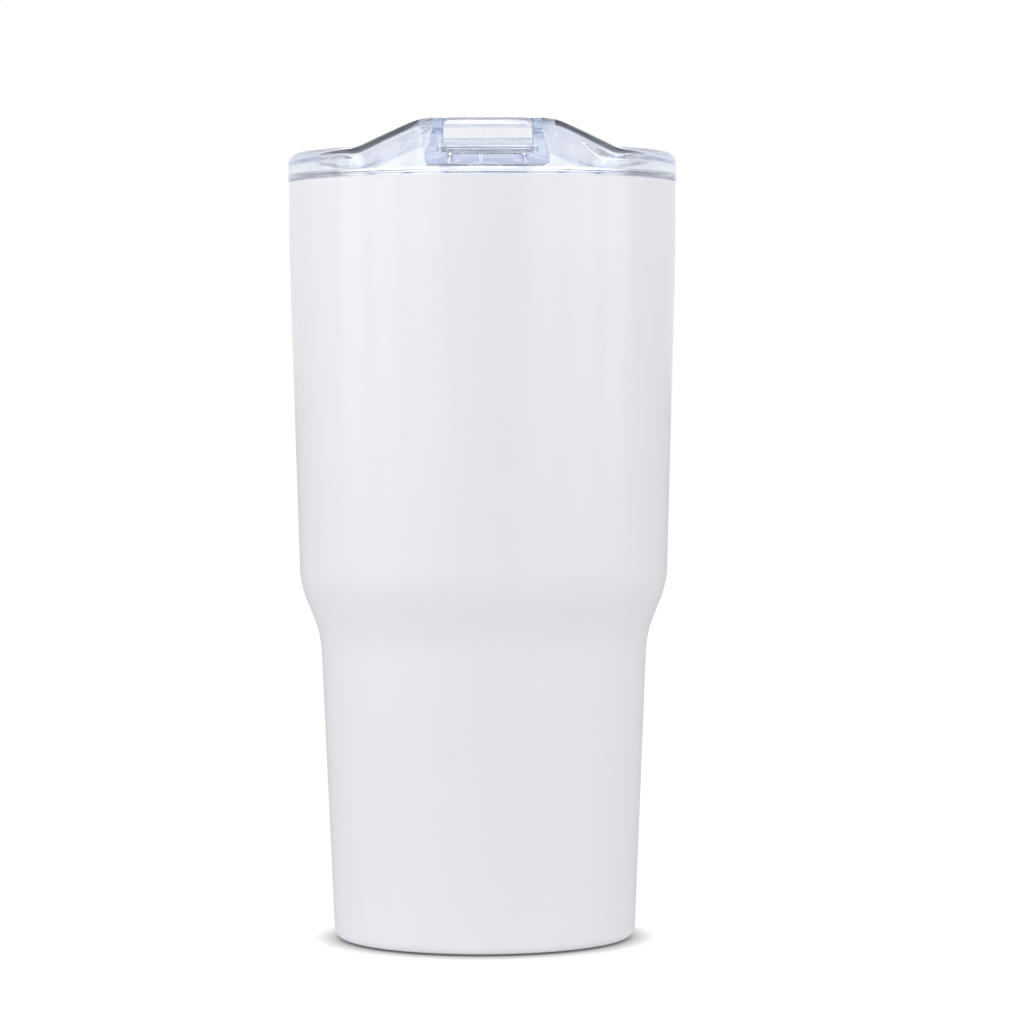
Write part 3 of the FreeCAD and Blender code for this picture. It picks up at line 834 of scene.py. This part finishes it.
# Rounded rectangle by columns: a point running round the plain rectangle is clamped to the inner one, and
# the outline lies one corner radius away from there.
def plateLoop(centre, half, corner):
    angle = np.linspace(0, 2 * math.pi, slider["columns"], endpoint=False)
    way = np.column_stack([np.sin(angle) * half[0], -np.cos(angle) * half[1]])
    way = way / np.abs(way / np.asarray(half)).max(axis=1, keepdims=True)
    limit = np.asarray(half) - corner
    inner = np.clip(way, -limit, limit)
    off = way - inner
    length = np.maximum(np.linalg.norm(off, axis=1, keepdims=True), 1e-9)
    return inner + off / length * corner + centre


# Sliding closure, as rows from the thumb bar's middle over the plate's edge and tongues to the middle of
# the pocket under it.
def slideGate():
    half = np.array([sliderHigh.x - slider["tongue"], (sliderHigh.y - sliderLow.y) / 2])
    middle = np.array([0, (sliderHigh.y + sliderLow.y) / 2])
    low, top = sliderLow.z, sliderLow.z + slider["plateTop"]
    barMiddle = np.array([0, sliderHigh.y - slider["barFromRear"] - slider["barDepth"] / 2])
    barHalf = np.array([slider["barHalf"], slider["barDepth"] / 2])
    pocketMiddle = np.array([0, (sealHigh.y + sealLow.y) / 2])
    pocketHalf = np.array([(sealHigh.x - sealLow.x) / 2, (sealHigh.y - sealLow.y) / 2]) + slider["pocketGap"]
    barLoop = plateLoop(barMiddle, barHalf, slider["barCorner"])
    rows, reaches = [], []

    def add(loop, z, reach=0.0):
        rows.append(atHeight(loop, z))
        reaches.append(reach)

    def tongues(depth):
        loop = plateLoop(middle, half, slider["cornerRound"])
        share = np.clip((np.abs(loop[:, 0]) - half[0] + slider["tongueBlend"]) / slider["tongueBlend"], 0, 1)
        ends = half[1] - slider["cornerRound"] - slider["tongueEnd"]
        share = share * (np.abs(loop[:, 1] - middle[1]) < ends)
        return loop + np.column_stack([np.sign(loop[:, 0]) * share * depth, 0 * share])

    for share in (0, 0.5, 0.8):
        add(barMiddle + (barLoop - barMiddle) * share, sliderHigh.z)
    add(barLoop, sliderHigh.z, slider["barRound"])
    add(barLoop, top, 0.5)
    plate = plateLoop(middle, half, slider["cornerRound"])
    for share in (0.35, 0.7):
        add(barLoop * (1 - share) + plate * share, top)
    add(plate, top, slider["edgeRound"])
    tongueBase = low + slider["tongueLow"]
    add(plate, tongueBase + slider["tongueThick"], 0.06)
    add(tongues(slider["tongue"]), tongueBase + slider["tongueThick"], 0.25)
    add(tongues(slider["tongue"]), tongueBase, 0.25)
    add(plate, tongueBase, 0.06)
    add(plate, low, 0.25)
    pocket = plateLoop(pocketMiddle, pocketHalf, pocketHalf[1] - 0.001)
    for share in (0.3, 0.65):
        add(plate * (1 - share) + pocket * share, low)
    roof = low + slider["pocketDepth"] + slider["pocketGap"]
    add(pocket, low, 0.12)
    add(pocket, roof, 0.1)
    for share in (0.5, 1):
        add(pocket + (pocketMiddle - pocket) * share, roof)
    grid = np.stack(roundRows(rows, reaches))
    return gridPiece("slideGate", grid, False, [sliderClear], "slider", ["slider"])


slideGate()
print("slider built")


# finishes of the inner pieces, which keep their CAD shape
innerFinishes = {"copper_foil": crinkledFoil(), "vacuum_base": rawSteel, "getter_holder": rawSteel,
                 "getter_pill": pressedPowder(), "port_seal": fusedGlass(), "slider_seal": gasketSilicone}
for name, finish in innerFinishes.items():
    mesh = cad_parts[name].data
    mesh.materials.clear()
    mesh.materials.append(finish)
print("inner pieces finished")


paper = {"half": 9.0, "light": (0.91, 0.91, 0.91), "dark": (0.89, 0.89, 0.89), "roughness": 0.9, "glow": 0.1,
         "shadowReach": 0.006, "paintedShadowGlow": 0.10, "openGlow": 1.05, "throughLid": (0.62, 0.655, 0.74)}


# Wide pale floor, one level square, that glows. The camera, and light that has come through the lid, see it
# as paper
# with a painted contact shadow: an occlusion mask takes its glow from paintedShadowGlow near the foot to
# openGlow in the open, and through the lid its glow is painted pale blue-grey.
def paleFloor():
    mesh = bpy.data.meshes.new("paleFloor")
    h = paper["half"]
    mesh.from_pydata([(-h, -h, 0), (h, -h, 0), (h, h, 0), (-h, h, 0)], [], [(0, 1, 2, 3)])
    material, tree, shader = newMaterial("palePaper")
    peel = placeGroup(tree, peelGroup, size=300.0, fine=0.4)
    tree.links.new(blendColours(tree, peel.outputs["mottle"], paper["light"], paper["dark"]),
                   shader.inputs["Base Color"])
    shader.inputs["Roughness"].default_value = paper["roughness"]
    shader.inputs["Specular IOR Level"].default_value = 0.1
    shader.inputs["Emission Color"].default_value = (1, 1, 1, 1)
    shader.inputs["Emission Strength"].default_value = paper["glow"]
    # painted contact shadow: the occlusion mask darkens the floor's glow round the foot
    paintedShadowMask = node(tree, "ShaderNodeAmbientOcclusion", samples=16, in_Distance=paper["shadowReach"])
    white = node(tree, "ShaderNodeEmission")
    tree.links.new(ramp(tree, paintedShadowMask.outputs["AO"], paper["paintedShadowGlow"], paper["openGlow"]),
                   white.inputs["Strength"])
    path = node(tree, "ShaderNodeLightPath")
    # painted pale blue-grey tint on the floor's glow where it is seen through the lid
    through = path.outputs["Is Transmission Ray"]
    tree.links.new(blendColours(tree, through, (1, 1, 1), paper["throughLid"]), white.inputs["Color"])
    choice = node(tree, "ShaderNodeMixShader")
    tree.links.new(mathNode(tree, "MAXIMUM", path.outputs["Is Camera Ray"], through), choice.inputs["Fac"])
    tree.links.new(shader.outputs[0], choice.inputs[1])
    tree.links.new(white.outputs[0], choice.inputs[2])
    tree.links.new(choice.outputs[0], tree.nodes["Material Output"].inputs["Surface"])
    mesh.materials.append(material)
    floor = bpy.data.objects.new("paleFloor", mesh)
    bpy.context.scene.collection.objects.link(floor)


surroundings = {
    "front": 0.95, "sides": 1.4, "behind": 0.9, "above": 0.1,
    "sidesFrom": 40, "behindFrom": 90, "blend": 8, "ceilingFrom": 0.52, "ceilingFull": 0.68,
    "throughLid": 0.9, "throughLidAbove": 3.5,
    "lidSides": (0.62, 0.68, 0.82), "lidBehind": (0.95, 0.97, 1.0), "lidSidesTo": 95, "lidBehindFrom": 150,
}


# Soft surroundings in three bands, by bearing in degrees from the front round to behind the tumbler, and
# a dark ceiling. The camera itself sees plain white.
def studioWorld():
    around = surroundings
    world = bpy.data.worlds.new("studioWorld")
    world.use_nodes = True
    bpy.context.scene.world = world
    tree = world.node_tree
    glow = tree.nodes["Background"]
    parts = node(tree, "ShaderNodeSeparateXYZ")
    tree.links.new(node(tree, "ShaderNodeTexCoord").outputs["Generated"], parts.inputs[0])
    x, y, z = parts.outputs
    bearing = mathNode(tree, "ARCTAN2", mathNode(tree, "ABSOLUTE", x), mathNode(tree, "MULTIPLY", y, -1.0))
    light = around["front"]
    for band in ("sides", "behind"):
        start, blend = around[band + "From"], around["blend"]
        step = smoothStep(tree, bearing, math.radians(start - blend), math.radians(start + blend))
        light = mixValues(tree, step, light, around[band])
    ceiling = smoothStep(tree, z, around["ceilingFrom"], around["ceilingFull"])
    light = mixValues(tree, ceiling, light, around["above"])
    path = node(tree, "ShaderNodeLightPath")
    through = path.outputs["Is Transmission Ray"]
    insideLid = mixValues(tree, ceiling, around["throughLid"], around["throughLidAbove"])
    light = mixValues(tree, through, light, insideLid)
    tree.links.new(mathNode(tree, "MAXIMUM", light, path.outputs["Is Camera Ray"]), glow.inputs["Strength"])
    # light that has come through the lid: white from behind, pale blue from every other side
    rear = smoothStep(tree, bearing, math.radians(around["lidSidesTo"]),
                      math.radians(around["lidBehindFrom"]))
    tint = blendColours(tree, rear, around["lidSides"], around["lidBehind"])
    colour = node(tree, "ShaderNodeMix", data_type="RGBA")
    colour.inputs["A"].default_value = (1, 1, 1, 1)
    tree.links.new(through, colour.inputs["Factor"])
    tree.links.new(tint, colour.inputs["B"])
    tree.links.new(colour.outputs["Result"], glow.inputs["Color"])


# each bank is its radiance and its lamps' bearings in degrees, counted from the front to the right
lamps = {
    "distance": 1.5, "height": 0.30, "aimHeight": 0.10, "width": 0.5, "tall": 1.2,
    "banks": {"leftBank": (1.25, (-85, -60, -35)), "rightBank": (1.0, (35, 60, 85)),
              "leftFill": (0.4, (-110, -12))},
}


# Area light at the given bearing, turned to face the tumbler's middle.
def softbox(name, radiance, bearing):
    lamp = bpy.data.lights.new(name, "AREA")
    lamp.shape, lamp.size, lamp.size_y = "RECTANGLE", lamps["width"], lamps["tall"]
    lamp.energy = radiance * math.pi * lamps["width"] * lamps["tall"]
    piece = bpy.data.objects.new(name, lamp)
    a = math.radians(bearing)
    piece.location = (math.sin(a) * lamps["distance"], -math.cos(a) * lamps["distance"], lamps["height"])
    aim = Vector((0, 0, lamps["aimHeight"])) - piece.location
    piece.rotation_euler = aim.to_track_quat("-Z", "Y").to_euler()
    piece.visible_camera = False
    bpy.context.scene.collection.objects.link(piece)


# turn is the bearing of the camera, aside how far it looks past the axis, in degrees
eye = {"distance": 0.952, "height": 0.1308, "lens": 146.4,
       "tilt": 2.01, "turn": -1.7, "aside": 0.4, "roll": 0.19}


# Long lens level with the tumbler's upper half, looking down slightly.
def studioCamera():
    data = bpy.data.cameras.new("studioCamera")
    data.lens, data.sensor_width = eye["lens"], 36.0
    data.clip_start, data.clip_end = 0.01, 50
    camera = bpy.data.objects.new("studioCamera", data)
    a = math.radians(eye["turn"])
    camera.location = (math.sin(a) * eye["distance"], -math.cos(a) * eye["distance"], eye["height"])
    camera.rotation_mode = "XYZ"
    camera.rotation_euler = (math.radians(90 - eye["tilt"]), math.radians(eye["roll"]),
                             a - math.radians(eye["aside"]))
    bpy.context.scene.collection.objects.link(camera)
    bpy.context.scene.camera = camera


paleFloor()
studioWorld()
for bank, (radiance, bearings) in lamps["banks"].items():
    for bearing in bearings:
        softbox("%s%d" % (bank, abs(bearing)), radiance, bearing)
studioCamera()
view = bpy.context.scene.view_settings
view.view_transform, view.look = "Standard", "None"
cycles = bpy.context.scene.cycles
cycles.max_bounces, cycles.transmission_bounces, cycles.glossy_bounces = 48, 48, 32
cycles.caustics_refractive = cycles.caustics_reflective = True
print("studio ready")
